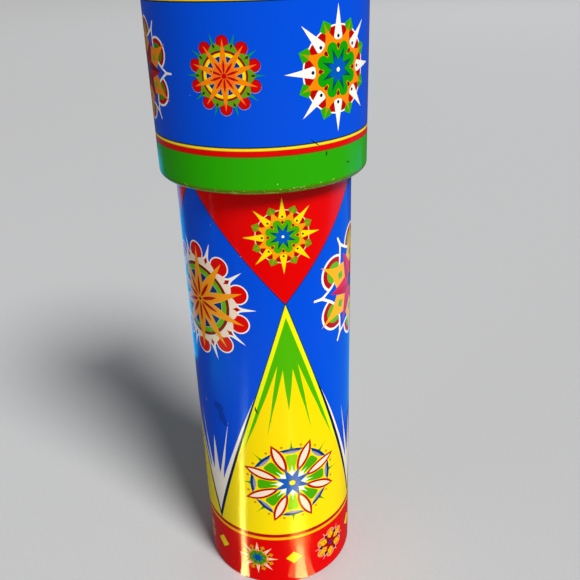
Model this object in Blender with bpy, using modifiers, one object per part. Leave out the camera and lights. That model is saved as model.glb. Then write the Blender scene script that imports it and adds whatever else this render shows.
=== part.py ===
"""A tin kaleidoscope: a straight tube that stands on its eyepiece end, with a wider drum that turns on it.

The frame is the middle of the ring that the tube stands on, with +Z up along the tube to the drum.
Lengths are in metres. The tube holds the eyepiece and a prism of three mirrors. The drum holds the
object cell: a clear disc, a spacer ring, a frosted disc, and the coloured pieces that tumble between them.
"""
import math

import bmesh
import bpy

# The tin tube, and the drum round its upper end
TUBE_RADIUS = 0.0225
TUBE_TOP = 0.163
DRUM_RADIUS = 0.0263
DRUM_BOTTOM = 0.126
DRUM_TOP = 0.1766
TIN = 0.0005
TUBE_CORNER = 0.0008
TUBE_LIP = 0.0025
DRUM_CORNER = 0.0011
DRUM_TOP_LIP = 0.0023
GAP = 0.0003
RUNNING_GAP = 0.0004

# Eyepiece, from the tube's crimped lip upwards
CAP_THICKNESS = 0.0012
EYE_HOLE_RADIUS = 0.0045
EYE_DISH_RADIUS = 0.0115
EYE_DISH_DEPTH = 0.0006
WINDOW_RADIUS = 0.007
WINDOW_THICKNESS = 0.001

# Mirror prism
MIRROR_APOTHEM = 0.0102
MIRROR_THICKNESS = 0.0015
MIRROR_CORNER_GAP = 0.0005
END_RING_THICKNESS = 0.003
END_RING_OPENING = 0.0092
END_RING_TOP = 0.1615
PACKER_HALF_ANGLE = math.radians(45)
PACKER_LENGTH = 0.11
PACKER_ARC_STEPS = 12

# Rings between the tube and the drum
FELT_THICKNESS = 0.0012
STOP_RING_HEIGHT = 0.0015
STOP_RING_RADIUS = 0.0248
GUIDE_RING_BOTTOM = 0.154
GUIDE_RING_HEIGHT = 0.004

# Object cell in the drum
DISC_THICKNESS = 0.0012
SPACER_HEIGHT = 0.008
SPACER_INNER_RADIUS = 0.024
SNAP_RING_HEIGHT = 0.0012
SNAP_RING_INNER_RADIUS = 0.0244
BEAD_HALF = 0.0023
BEAD_FIELD_RADIUS = 0.0202
BEAD_FIRST_STEP = 0.4
STAR_TIPS = 5
STAR_REACH = 0.003
STAR_INNER_REACH = 0.0014
STAR_THICKNESS = 0.0016
CHIP_REACH = 0.0029
CHIP_THICKNESS = 0.0014
CUBE_SIDE = 0.0037
BEAD_TUBE_RADIUS = 0.0021
BEAD_TUBE_BORE = 0.0009
BEAD_TUBE_LENGTH = 0.0037
GOLDEN_ANGLE = math.radians(137.508)
BEAD_PLAN = (
    ("ball", "ruby"), ("star", "amber"), ("cube", "teal"), ("chip", "violet"), ("tube", "lime"),
    ("ball", "azure"), ("star", "rose"), ("cube", "amber"), ("chip", "lime"), ("tube", "ruby"),
    ("ball", "violet"), ("star", "teal"), ("cube", "rose"), ("chip", "azure"),
)
BEAD_COLOURS = {
    "ruby": (0.75, 0.02, 0.05), "amber": (0.95, 0.45, 0.02), "teal": (0.0, 0.5, 0.42),
    "violet": (0.32, 0.06, 0.6), "lime": (0.35, 0.75, 0.05), "azure": (0.03, 0.3, 0.85),
    "rose": (0.9, 0.15, 0.4),
}

# Facets
SHELL_SEGMENTS = 72
RING_SEGMENTS = 48
CORNER_STEPS = 4
BEAD_SEGMENTS = 12
BALL_RINGS = 8

TUBE_BORE = TUBE_RADIUS - TIN
DRUM_BORE = DRUM_RADIUS - TIN
TUBE_FIT = TUBE_BORE - GAP
DRUM_FIT = DRUM_BORE - GAP


def clear_scene():
    for old in list(bpy.data.objects):
        bpy.data.objects.remove(old, do_unlink=True)


def new_collection(name):
    group = bpy.data.collections.new(name)
    bpy.context.scene.collection.children.link(group)
    return group


def finish(name, colour, roughness, metallic=0.0, alpha=1.0):
    """A plain material with the piece's colour."""
    surface = bpy.data.materials.new(name)
    surface.use_nodes = True
    shader = surface.node_tree.nodes["Principled BSDF"]
    shader.inputs["Base Color"].default_value = (*colour, 1.0)
    shader.inputs["Roughness"].default_value = roughness
    shader.inputs["Metallic"].default_value = metallic
    shader.inputs["Alpha"].default_value = alpha
    return surface


def add_object(name, data, surface, parent):
    piece = bpy.data.objects.new(name, data)
    parts.objects.link(piece)
    data.materials.append(surface)
    piece.parent = parent
    return piece


def corner(centre_radius, centre_height, radius, start, end):
    """Points of a round corner, as (radius, height), from the angle start to end in degrees."""
    turns = [math.radians(start + (end - start) * i / CORNER_STEPS) for i in range(CORNER_STEPS + 1)]
    return [(centre_radius + radius * math.cos(a), centre_height + radius * math.sin(a)) for a in turns]


def turned(name, outline, surface, parent, closed=True, segments=RING_SEGMENTS):
    """A turned piece: the outline runs down its outer side, and comes back up the inner one."""
    mesh = bpy.data.meshes.new(name)
    last = len(outline)
    edges = [(i, (i + 1) % last) for i in range(last if closed else last - 1)]
    mesh.from_pydata([(r, 0.0, z) for r, z in outline], edges, [])
    piece = add_object(name, mesh, surface, parent)
    screw = piece.modifiers.new("turn", "SCREW")
    screw.axis = "Z"
    screw.angle = math.tau
    screw.steps = segments
    screw.render_steps = segments
    screw.use_merge_vertices = True
    screw.merge_threshold = 0.00001
    screw.use_smooth_shade = True
    return piece


def ring(name, inner, outer, bottom, top, surface, parent):
    return turned(name, [(outer, top), (outer, bottom), (inner, bottom), (inner, top)], surface, parent)


def disc(name, radius, bottom, top, surface, parent):
    outline = [(0.0, top), (radius, top), (radius, bottom), (0.0, bottom)]
    return turned(name, outline, surface, parent, closed=False)


def plate(name, loops, bottom, top, surface, parent):
    """A flat outline with holes, made as a filled curve as thick as top minus bottom."""
    curve = bpy.data.curves.new(name, "CURVE")
    curve.dimensions = "2D"
    curve.fill_mode = "BOTH"
    curve.extrude = (top - bottom) / 2
    for loop in loops:
        spline = curve.splines.new("POLY")
        spline.points.add(len(loop) - 1)
        spline.use_cyclic_u = True
        for point, (x, y) in zip(spline.points, loop):
            point.co = (x, y, 0.0, 1.0)
    piece = add_object(name, curve, surface, parent)
    piece.location.z = (top + bottom) / 2
    return piece


def arc(radius, start, end, steps):
    """Points on a circle about the tube's axis, from the angle start to end in radians."""
    turns = [start + (end - start) * i / steps for i in range(steps + 1)]
    return [(radius * math.cos(a), radius * math.sin(a)) for a in turns]


def body_tube(parent):
    """The tube's wall with its lower edge crimped inwards into the ring it stands on."""
    bend = TUBE_RADIUS - TUBE_CORNER
    outline = [(TUBE_RADIUS, TUBE_TOP)]
    outline += corner(bend, TUBE_CORNER, TUBE_CORNER, 0, -90)
    outline += [(TUBE_RADIUS - TUBE_LIP, 0.0), (TUBE_RADIUS - TUBE_LIP, TIN)]
    outline += corner(bend, TUBE_CORNER, TUBE_CORNER - TIN, -90, 0)
    outline += [(TUBE_BORE, TUBE_TOP)]
    surface = finish("tin_tube_print", (0.0, 0.06, 0.5), 0.18)
    turned("body_tube", outline, surface, parent, segments=SHELL_SEGMENTS)


def eyepiece(parent):
    """The cap with its dished eye hole, then the clear window in its retaining ring."""
    cap_bottom = TUBE_CORNER
    cap_top = cap_bottom + CAP_THICKNESS
    outline = [
        (TUBE_FIT, cap_top), (TUBE_FIT, cap_bottom), (EYE_DISH_RADIUS, cap_bottom),
        (EYE_HOLE_RADIUS, cap_bottom + EYE_DISH_DEPTH), (EYE_HOLE_RADIUS, cap_top),
    ]
    turned("eyepiece_cap", outline, finish("cap_plastic", (0.012, 0.012, 0.014), 0.35), parent)
    window_bottom = cap_top + GAP
    window_top = window_bottom + WINDOW_THICKNESS
    clear = finish("window_clear", (0.9, 0.92, 0.95), 0.05, alpha=0.35)
    disc("eyepiece_window", WINDOW_RADIUS, window_bottom, window_top, clear, parent)
    card = finish("retainer_card", (0.42, 0.36, 0.28), 0.9)
    ring("eyepiece_retainer", WINDOW_RADIUS + GAP, TUBE_FIT, window_bottom, window_top, card, parent)
    return window_top + GAP


def end_ring(name, bottom, parent):
    """A disc with a triangular opening, a little smaller than the mirror prism."""
    hole = [
        (2 * END_RING_OPENING * math.cos(a), 2 * END_RING_OPENING * math.sin(a))
        for a in (math.radians(60), math.radians(180), math.radians(300))
    ]
    rim = arc(TUBE_FIT, 0.0, math.tau * (RING_SEGMENTS - 1) / RING_SEGMENTS, RING_SEGMENTS - 1)
    surface = finish(name + "_card", (0.42, 0.36, 0.28), 0.9)
    plate(name, [rim, hole], bottom, bottom + END_RING_THICKNESS, surface, parent)


def mirror(index, bottom, top, parent):
    """One mirror strip, with its reflecting side towards the tube's axis."""
    turn = math.tau * index / 3
    half_width = MIRROR_APOTHEM * math.sqrt(3) - MIRROR_CORNER_GAP
    mesh = bpy.data.meshes.new(f"mirror_strip_{index + 1}")
    shape = bmesh.new()
    bmesh.ops.create_cube(shape, size=1.0)
    bmesh.ops.scale(shape, vec=(MIRROR_THICKNESS, 2 * half_width, top - bottom), verts=shape.verts)
    shape.to_mesh(mesh)
    shape.free()
    silver = finish(f"mirror_silver_{index + 1}", (0.85, 0.87, 0.88), 0.04, metallic=1.0)
    piece = add_object(mesh.name, mesh, silver, parent)
    reach = MIRROR_APOTHEM + MIRROR_THICKNESS / 2
    piece.location = (reach * math.cos(turn), reach * math.sin(turn), (bottom + top) / 2)
    piece.rotation_euler.z = turn


def packer(index, middle, parent):
    """A foam strip that fills the space between a mirror's back and the tube's wall."""
    chord = MIRROR_APOTHEM + MIRROR_THICKNESS + GAP
    rim = arc(TUBE_FIT, -PACKER_HALF_ANGLE, PACKER_HALF_ANGLE, PACKER_ARC_STEPS)
    side = TUBE_FIT * math.sin(PACKER_HALF_ANGLE)
    outline = rim + [(chord, side), (chord, -side)]
    foam = finish(f"packer_foam_{index + 1}", (0.12, 0.12, 0.13), 0.95)
    half = PACKER_LENGTH / 2
    piece = plate(f"mirror_packer_{index + 1}", [outline], middle - half, middle + half, foam, parent)
    piece.rotation_euler.z = math.tau * index / 3


def mirrors(lower_ring_bottom, parent):
    """The two end rings, and the three mirrors and their packers between them."""
    end_ring("mirror_end_ring_lower", lower_ring_bottom, parent)
    end_ring("mirror_end_ring_upper", END_RING_TOP - END_RING_THICKNESS, parent)
    bottom = lower_ring_bottom + END_RING_THICKNESS + GAP
    top = END_RING_TOP - END_RING_THICKNESS - GAP
    for index in range(3):
        mirror(index, bottom, top, parent)
        packer(index, (bottom + top) / 2, parent)


def tube_rings(tube, drum):
    """The felt washer on the drum's flange, the stop ring above it and the upper guide ring."""
    felt_bottom = DRUM_BOTTOM + TIN + GAP
    felt_top = felt_bottom + FELT_THICKNESS
    felt = finish("washer_felt", (0.16, 0.13, 0.12), 0.95)
    ring("felt_washer", TUBE_RADIUS + RUNNING_GAP, STOP_RING_RADIUS, felt_bottom, felt_top, felt, drum)
    stop_bottom = felt_top + GAP
    steel = finish("stop_ring_steel", (0.55, 0.55, 0.56), 0.35, metallic=1.0)
    ring("tube_stop_ring", TUBE_RADIUS + GAP, STOP_RING_RADIUS,
         stop_bottom, stop_bottom + STOP_RING_HEIGHT, steel, tube)
    card = finish("guide_ring_card", (0.42, 0.36, 0.28), 0.9)
    ring("tube_guide_ring", TUBE_RADIUS + GAP, DRUM_BORE - RUNNING_GAP,
         GUIDE_RING_BOTTOM, GUIDE_RING_BOTTOM + GUIDE_RING_HEIGHT, card, tube)


def drum_shell(parent):
    """The drum's wall, its bottom edge turned in to the tube and its top edge into a narrow rim."""
    bend = DRUM_RADIUS - DRUM_CORNER
    inside = DRUM_CORNER - TIN
    low, high = DRUM_BOTTOM + DRUM_CORNER, DRUM_TOP - DRUM_CORNER
    neck = TUBE_RADIUS + RUNNING_GAP
    rim = DRUM_RADIUS - DRUM_TOP_LIP
    outline = [(rim, DRUM_TOP)]
    outline += corner(bend, high, DRUM_CORNER, 90, 0)
    outline += corner(bend, low, DRUM_CORNER, 0, -90)
    outline += [(neck, DRUM_BOTTOM), (neck, DRUM_BOTTOM + TIN)]
    outline += corner(bend, low, inside, -90, 0)
    outline += corner(bend, high, inside, 0, 90)
    outline += [(rim, DRUM_TOP - TIN)]
    surface = finish("tin_drum_print", (0.0, 0.08, 0.6), 0.18)
    turned("drum_shell", outline, surface, parent, segments=SHELL_SEGMENTS)


def object_cell(parent):
    """The clear inner disc, the spacer, the frosted disc and the ring under the drum's rim."""
    window_bottom = TUBE_TOP + GAP
    window_top = window_bottom + DISC_THICKNESS
    clear = finish("cell_clear", (0.9, 0.92, 0.95), 0.05, alpha=0.35)
    disc("inner_window", DRUM_FIT, window_bottom, window_top, clear, parent)
    spacer_bottom = window_top + GAP
    spacer_top = spacer_bottom + SPACER_HEIGHT
    white = finish("spacer_plastic", (0.8, 0.8, 0.78), 0.45)
    ring("cell_spacer_ring", SPACER_INNER_RADIUS, DRUM_FIT, spacer_bottom, spacer_top, white, parent)
    diffuser_bottom = spacer_top + GAP
    diffuser_top = diffuser_bottom + DISC_THICKNESS
    frosted = finish("diffuser_frosted", (0.86, 0.88, 0.9), 0.6, alpha=0.7)
    disc("diffuser", DRUM_FIT, diffuser_bottom, diffuser_top, frosted, parent)
    snap_bottom = diffuser_top + GAP
    steel = finish("snap_ring_steel", (0.55, 0.55, 0.56), 0.35, metallic=1.0)
    ring("drum_snap_ring", SNAP_RING_INNER_RADIUS, DRUM_FIT,
         snap_bottom, snap_bottom + SNAP_RING_HEIGHT, steel, parent)
    return window_top + GAP


def star_outline(tips, outer, inner):
    """A star's outline about its own middle."""
    points = []
    for step in range(2 * tips):
        reach = inner if step % 2 else outer
        turn = math.pi * step / tips
        points.append((reach * math.cos(turn), reach * math.sin(turn)))
    return points


def bead(index, kind, colour_name, floor, parent):
    """One coloured piece that lies on the inner window at its place in a spiral."""
    name = f"bead_{index + 1:02d}_{kind}"
    surface = finish(f"bead_{index + 1:02d}_{colour_name}", BEAD_COLOURS[colour_name], 0.12)
    spread = BEAD_FIELD_RADIUS * math.sqrt((index + BEAD_FIRST_STEP) / len(BEAD_PLAN))
    turn = index * GOLDEN_ANGLE
    if kind == "star":
        outline = star_outline(STAR_TIPS, STAR_REACH, STAR_INNER_REACH)
        piece = plate(name, [outline], floor, floor + STAR_THICKNESS, surface, parent)
    elif kind == "chip":
        triangle = arc(CHIP_REACH, 0.0, math.tau * 2 / 3, 2)
        piece = plate(name, [triangle], floor, floor + CHIP_THICKNESS, surface, parent)
    elif kind == "tube":
        half_length = BEAD_TUBE_LENGTH / 2
        piece = ring(name, BEAD_TUBE_BORE, BEAD_TUBE_RADIUS, -half_length, half_length, surface, parent)
        piece.modifiers["turn"].steps = BEAD_SEGMENTS
        piece.modifiers["turn"].render_steps = BEAD_SEGMENTS
        piece.rotation_euler.x = math.pi / 2
        piece.location.z = floor + BEAD_TUBE_RADIUS
    else:
        mesh = bpy.data.meshes.new(name)
        shape = bmesh.new()
        if kind == "ball":
            bmesh.ops.create_uvsphere(
                shape, u_segments=BEAD_SEGMENTS, v_segments=BALL_RINGS, radius=BEAD_HALF)
            height = BEAD_HALF
        else:
            bmesh.ops.create_cube(shape, size=CUBE_SIDE)
            height = CUBE_SIDE / 2
        shape.to_mesh(mesh)
        shape.free()
        piece = add_object(name, mesh, surface, parent)
        piece.location.z = floor + height
    piece.location.x = spread * math.cos(turn)
    piece.location.y = spread * math.sin(turn)
    piece.rotation_euler.z = turn


def pivot(name):
    """An empty on the turning axis, which one side's pieces are parented to."""
    empty = bpy.data.objects.new(name, None)
    parts.objects.link(empty)
    return empty


clear_scene()
parts = new_collection("kaleidoscope")
tube_body = pivot("tube_side")
drum_body = pivot("drum_side")

body_tube(tube_body)
prism_bottom = eyepiece(tube_body)
mirrors(prism_bottom, tube_body)
tube_rings(tube_body, drum_body)
drum_shell(drum_body)
bead_floor = object_cell(drum_body)
for number, (bead_kind, bead_colour) in enumerate(BEAD_PLAN):
    bead(number, bead_kind, bead_colour, bead_floor, drum_body)
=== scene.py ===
"""Looks of the tin kaleidoscope: the printed tin of its tube and drum, their wear, and every other surface.

The prints are drawn on flat sheets, in tube radii, as plain shapes in paint order: u runs round the tin
and v up it. A triangulation cuts the layers of a sheet into one mesh whose faces carry the ink on top,
and the sheet is then rolled round its cylinder, with its edges turned in. Azimuth 0 faces -Y, and it
grows towards +X.
"""
import math
import random
from math import atan, atan2, ceil, cos, pi, radians, sin, sqrt, tau

import bmesh
import bpy
from mathutils import Matrix, Vector
from mathutils.geometry import delaunay_2d_cdt


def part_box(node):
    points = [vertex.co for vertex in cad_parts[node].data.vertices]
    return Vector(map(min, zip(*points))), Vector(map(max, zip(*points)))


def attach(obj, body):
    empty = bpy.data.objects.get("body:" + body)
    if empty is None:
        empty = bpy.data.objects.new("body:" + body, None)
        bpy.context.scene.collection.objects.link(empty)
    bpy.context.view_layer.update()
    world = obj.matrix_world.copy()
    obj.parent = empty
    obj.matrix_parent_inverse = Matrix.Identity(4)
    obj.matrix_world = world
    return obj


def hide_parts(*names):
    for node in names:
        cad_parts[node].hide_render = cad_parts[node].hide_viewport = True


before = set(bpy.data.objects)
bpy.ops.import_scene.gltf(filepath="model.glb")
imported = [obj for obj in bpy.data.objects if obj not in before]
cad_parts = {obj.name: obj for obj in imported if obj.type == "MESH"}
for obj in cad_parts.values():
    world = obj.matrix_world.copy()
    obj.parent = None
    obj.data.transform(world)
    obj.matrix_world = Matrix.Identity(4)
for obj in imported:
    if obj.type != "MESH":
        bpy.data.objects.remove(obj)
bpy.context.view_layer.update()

# Sizes in metres, from the frame and from the tin's own thickness and edges
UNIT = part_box("body_tube")[1].x
TUBE_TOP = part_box("body_tube")[1].z
DRUM_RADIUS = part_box("drum_shell")[1].x
DRUM_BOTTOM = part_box("drum_shell")[0].z
DRUM_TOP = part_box("drum_shell")[1].z
TIN = 0.0005
TUBE_CORNER = 0.0008
TUBE_LIP = 0.0025
DRUM_CORNER = 0.0011
DRUM_TOP_LIP = 0.0023
RUNNING_GAP = 0.0004
EYE_HOLE_RADIUS, EYE_DISH_RADIUS, EYE_DISH_DEPTH, EYE_CORNER = 0.0045, 0.0115, 0.0006, 0.0002
FROST_CORNER, FROST_RING, FROST_RING_WIDTH, FROST_RING_DEPTH = 0.0002, 0.0215, 0.0004, 0.0002

# The rolled sheets, with their seam, and the turned pieces
COLUMNS = 96
SHARP_EDGE = 35
CORNER_ROWS = 5
SEAM_HALF_WIDTH = 0.0022
SEAM_SLOPE = 0.0005
SEAM_DEPTH = 0.00012
SEAM_LINE_DEPTH = 0.0003
SEAM_LINE_HALF_WIDTH = 0.00025
CUT_TOLERANCE = 1e-6
WELD = 1e-7

# Print colours, as sRGB from 0 to 255, and two darker colours of painted light: a blue for a dark reflection
# on the tube and an olive for shade on the drum's turned edges
INKS = dict(
    blue=(0, 78, 222), night=(0, 62, 184), navy=(0, 30, 78), pine=(0, 48, 56), deep_blue=(0, 50, 125),
    royal=(0, 70, 160), sky=(0, 88, 190), teal=(0, 75, 110), forest=(0, 82, 58), red=(226, 0, 0),
    ruby=(186, 0, 0), dark_red=(135, 0, 0), magenta=(232, 0, 70), rose=(198, 0, 56), scarlet=(208, 0, 6),
    wine=(110, 0, 14), plum=(50, 30, 62), yellow=(255, 226, 0), lemon=(255, 236, 40), citron=(243, 244, 4),
    amber=(255, 184, 0), gold=(212, 148, 8), orange=(250, 138, 0), apricot=(255, 160, 10),
    flame=(255, 112, 18), tan=(220, 140, 20), olive=(130, 100, 20), bronze=(60, 50, 0), green=(42, 168, 0),
    fern=(14, 160, 4), grass=(72, 172, 0), leaf=(58, 145, 0), sage=(104, 158, 14), lime=(104, 184, 0),
    spring=(140, 205, 0), mint=(222, 248, 180), moss=(84, 124, 0), jade=(14, 142, 80), ochre=(172, 152, 16),
    khaki=(142, 150, 44), pale=(180, 226, 100), soot=(16, 44, 2), flare=(78, 184, 0), white=(255, 250, 240),
    ivory=(252, 242, 226), cream=(252, 230, 206), peach=(255, 205, 170), salmon=(255, 160, 140),
    violet=(150, 150, 182), lilac=(176, 150, 200), purple=(72, 42, 128), speck=(225, 215, 190),
    chip=(34, 26, 22))
BARE_INKS = ("speck", "chip", "khaki", "pale", "soot")


def rgb(colour):
    """An sRGB colour from 0 to 255 as linear light."""
    shares = (value / 255 for value in colour)
    return (*(part / 12.92 if part <= 0.04045 else ((part + 0.055) / 1.055) ** 2.4 for part in shares), 1)


def put(name, data):
    """A new object in the scene."""
    made = bpy.data.objects.new(name, data)
    bpy.context.scene.collection.objects.link(made)
    return made


# ---- drawing on a flat sheet

class Sheet:
    """A flat printed sheet. Its layers are (ink, outline) in paint order."""

    def __init__(self, radius, middle, low, high, field):
        self.radius = radius / UNIT
        self.left = (radians(middle) - pi) * self.radius
        self.right = (radians(middle) + pi) * self.radius
        self.low, self.high = low, high
        self.layers = []
        self.band(field, low, high)

    def at(self, azimuth, height):
        """The sheet point at an azimuth in degrees and a height in tube radii."""
        return (radians(azimuth) * self.radius, height)

    def spot(self, azimuth, height, size, turn=0):
        """The centre and the size of a rosette."""
        return self.at(azimuth + turn, height), size

    def paint(self, ink, outline):
        """Adds a shape, counter-clockwise, and again a turn further on where it passes the sheet's end."""
        area = sum(a[0] * b[1] - b[0] * a[1] for a, b in zip(outline, outline[1:] + outline[:1]))
        if area < 0:
            outline = outline[::-1]
        turn = self.right - self.left
        across = [u for u, v in outline]
        first = ceil((self.left - max(across)) / turn)
        last = math.floor((self.right - min(across)) / turn)
        for turns in range(first, last + 1):
            self.layers.append((ink, [(u + turns * turn, v) for u, v in outline]))

    def band(self, ink, low, high):
        """Adds a stripe all round, between two heights."""
        corners = [(self.left, low), (self.right, low), (self.right, high), (self.left, high)]
        self.layers.append((ink, corners))


def beside(centre, reach, turn):
    """The point at a distance from a centre, at an angle in degrees."""
    angle = radians(turn)
    return (centre[0] + reach * cos(angle), centre[1] + reach * sin(angle))


def circle(centre, radius, steps=None):
    steps = steps or max(10, round(56 * sqrt(radius)))
    return [beside(centre, radius, 360 * i / steps) for i in range(steps)]


def star(centre, tips, outer, inner, turn=0):
    """A star's outline. turn is the angle of its first tip, in degrees."""
    return [beside(centre, (outer, inner)[step % 2], turn + 180 * step / tips) for step in range(2 * tips)]


def spoke(centre, turn, size, stations):
    """An outline with both its sides alike about a spoke, from (reach, half width) stations outwards."""
    along = (cos(radians(turn)), sin(radians(turn)))
    sides = list(stations) + [(reach, -half) for reach, half in reversed(stations) if half > 0]
    return [
        (centre[0] + size * (reach * along[0] - half * along[1]),
         centre[1] + size * (reach * along[1] + half * along[0]))
        for reach, half in sides
    ]


def lens(start, end, half_width, grow=0, steps=8):
    """Stations of a petal that is pointed at both ends, grown all round for its outline."""
    stations = [(start - 1.6 * grow, 0)]
    for step in range(1, steps):
        share = step / steps
        swell = sin(pi * share) ** 0.85
        stations.append((start + (end - start) * share, half_width * swell + grow))
    return stations + [(end + 1.6 * grow, 0)]


def around(count, start=0):
    """The angles of count spokes, evenly spaced from start, in degrees."""
    return [start + 360 * i / count for i in range(count)]


# ---- the motifs

class Motif:
    """A rosette on a sheet. Its measures are shares of its size, and its parts are looked up in its inks."""

    def __init__(self, sheet, centre, size, inks):
        self.sheet, self.centre, self.size, self.inks = sheet, centre, size, inks

    def paint(self, part, outline):
        self.sheet.paint(self.inks.get(part, part), outline)

    def point(self, reach, turn):
        return beside(self.centre, reach * self.size, turn)

    def disc(self, part, radius, middle=None, steps=None):
        self.paint(part, circle(middle or self.centre, radius * self.size, steps))

    def star(self, part, tips, outer, inner, turn=0, middle=None):
        self.paint(part, star(middle or self.centre, tips, outer * self.size, inner * self.size, turn))

    def rays(self, turns, *painted):
        """Paints rays at each of the turns, from (part, stations) pairs."""
        for turn in turns:
            for part, stations in painted:
                self.paint(part, spoke(self.centre, turn, self.size, stations))

    def crescent(self, part, turn, outer, sagitta, half_angle, steps=8):
        """A crescent: its outer side is an arc about the centre and its inner side a flatter arc."""
        points = [(outer, -half_angle + 2 * half_angle * step / steps) for step in range(steps + 1)]
        for share in (step / steps for step in range(1, steps)):
            points.append((outer - sagitta * sin(pi * share), half_angle - 2 * half_angle * share))
        self.paint(part, [beside(self.centre, self.size * reach, turn + angle) for reach, angle in points])


# A wheel: the stations of its rays and the radii of its discs
WHEEL_FOOT_END = [(0.75, 0.042), (0.77, 0)]
WHEEL_FOOT = [(0.6, 0.2), (0.665, 0.155), (0.7, 0.1), (0.725, 0.066)] + WHEEL_FOOT_END
NARROW_WHEEL_FOOT = [(0.6, 0.2), (0.67, 0.135), (0.705, 0.094), (0.72, 0.07)] + WHEEL_FOOT_END
WHEEL_SPIKE = [(0.71, 0.08), (0.75, 0.042), (0.8, 0.028), (0.9, 0.015), (1, 0)]
WHEEL_DIAMOND = [(0.63, 0), (0.672, 0.015), (0.703, 0.037), (0.73, 0.019), (0.765, 0)]
WHEEL_FLAME = [(0, 0), (0.28, 0.089), (0.44, 0.071), (0.54, 0.052), (0.66, 0.033), (0.84, 0)]
WHEEL_RAY = WHEEL_FLAME[1:4] + [(0.62, 0.032), (0.66, 0)]
WHEEL_RAY_EDGE = [(0.28, 0.092), (0.44, 0.074), (0.455, 0.064)]
WHEEL_STROKE = [(0.05, 0), (0.12, 0.024), (0.24, 0.029), (0.32, 0.019), (0.385, 0)]
WHEEL_BASE, WHEEL_HUB, WHEEL_EYE, WIDE_WHEEL_EYE = 0.61, 0.285, 0.03, 0.064
WHEEL_DISCS = (
    ("dark_red", 0.585), ("ring_edge", 0.535), ("ring", 0.52), ("cream", 0.457), ("deep_blue", 0.452),
)
LOBE_REACH, LOBE_RADIUS, LOBE_OUTLINE, LOBE_SHADE, LOBE_SHADE_DROP = 0.765, 0.143, 0.016, 0.02, 0.01
WHEEL_INKS = dict(
    shade="white", outlines="white", lobes="red", base="cream", spikes="white", tips="white",
    diamonds="ruby", ring="lime", ring_edge="lime", rays="apricot", flames="apricot", eye="dark_red")


def lobed_wheel(sheet, centre, size, foot=WHEEL_FOOT, eye_radius=WHEEL_EYE, **changes):
    """Ten round lobes with spikes between them, about a ringed wheel with ten long rays."""
    wheel = Motif(sheet, centre, size, {**WHEEL_INKS, **changes})
    lobes = [wheel.point(LOBE_REACH, turn) for turn in around(10, 18)]
    drop = LOBE_SHADE_DROP if "shade" in changes else 0
    for u, v in lobes:
        wheel.disc("shade", LOBE_RADIUS + LOBE_SHADE, (u, v - drop * size))
    for middle in lobes:
        wheel.disc("outlines", LOBE_RADIUS + LOBE_OUTLINE, middle)
    for middle in lobes:
        wheel.disc("lobes", LOBE_RADIUS, middle)
    wheel.disc("base", WHEEL_BASE)
    wheel.rays(around(10), ("base", foot), ("spikes", WHEEL_SPIKE), ("tips", WHEEL_SPIKE[1:]),
               ("diamonds", WHEEL_DIAMOND))
    for part, radius in WHEEL_DISCS:
        wheel.disc(part, radius)
    wheel.rays(around(10, 18), ("cream", WHEEL_RAY_EDGE))
    wheel.rays(around(10, 18), ("flames", WHEEL_FLAME), ("rays", WHEEL_RAY))
    wheel.disc("flames", WHEEL_HUB)
    wheel.rays(around(10, 18), ("ruby", WHEEL_STROKE))
    wheel.disc("eye", eye_radius)


# A clover: its rays, the discs from its rim to its hub, and the clover itself with its stars
CLOVER_LEAF = [(0.575, 0), (0.7, 0.128), (0.825, 0)]
CLOVER_LEAF_VEIN = [(0.6, 0.006), (0.7, 0.014), (0.81, 0)]
CLOVER_POINT = [(0.4, 0.16), (0.47, 0.125), (0.51, 0.088), (0.575, 0.052), (0.66, 0.025), (0.76, 0)]
CLOVER_SPIKE = [
    (0.463, 0.03), (0.475, 0.07), (0.495, 0.09), (0.52, 0.095), (0.58, 0.081), (0.67, 0.065), (0.7, 0.056),
    (0.805, 0.036), (1, 0),
]
CLOVER_POINT_END = [(0.62, 0), (0.635, 0.034), (0.66, 0.025), (0.76, 0)]
CLOVER_GAP = [(0.31, 0), (0.345, 0.018), (0.375, 0.036), (0.405, 0.022), (0.41, 0)]
CLOVER_RIM, CLOVER_FIELD, CLOVER_BARE_FIELD, CLOVER_HUB = 0.7, 0.675, 0.62, 0.48
CLOVER_DOT, CLOVER_DOT_REACH = 0.029, 0.515
CLOVER_CORE, CLOVER_LOBE, CLOVER_LOBE_REACH = 0.31, 0.112, 0.345
CLOVER_STAR_TIPS, CLOVER_STAR_NOTCH, CLOVER_EYE = (0.367, 0.29, 0.22), 0.147, 0.037
CLOVER_INKS = dict(
    arcs="white", sectors="ruby", leaves="green", veins="lime", points="orange", ends="ochre",
    spikes="white", dots="navy", gaps="dark_red", clover="green", stars=("forest", "teal", "sky"),
    eye="white")


def spiked_clover(sheet, centre, size, rim=True, **changes):
    """Eight long spikes and eight leaf points round an eight-lobed clover with nested stars in it."""
    clover = Motif(sheet, centre, size, {**CLOVER_INKS, **changes})
    if rim:
        clover.disc("arcs", CLOVER_RIM)
    clover.disc("sectors", CLOVER_FIELD if rim else CLOVER_BARE_FIELD)
    clover.rays(around(8, 22.5), ("leaves", CLOVER_LEAF), ("veins", CLOVER_LEAF_VEIN))
    clover.rays(around(8, 22.5), ("points", CLOVER_POINT), ("ends", CLOVER_POINT_END))
    clover.disc("points", CLOVER_HUB)
    for turn in around(8):
        clover.rays([turn], ("spikes", CLOVER_SPIKE))
        clover.disc("dots", CLOVER_DOT, clover.point(CLOVER_DOT_REACH, turn), 12)
        clover.rays([turn], ("gaps", CLOVER_GAP))
    clover.disc("clover", CLOVER_CORE)
    for turn in around(8, 22.5):
        clover.disc("clover", CLOVER_LOBE, clover.point(CLOVER_LOBE_REACH, turn))
    for ink, tip in zip(clover.inks["stars"], CLOVER_STAR_TIPS):
        clover.star(ink, 8, tip, CLOVER_STAR_NOTCH, 22.5)
    clover.disc("eye", CLOVER_EYE)


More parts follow.
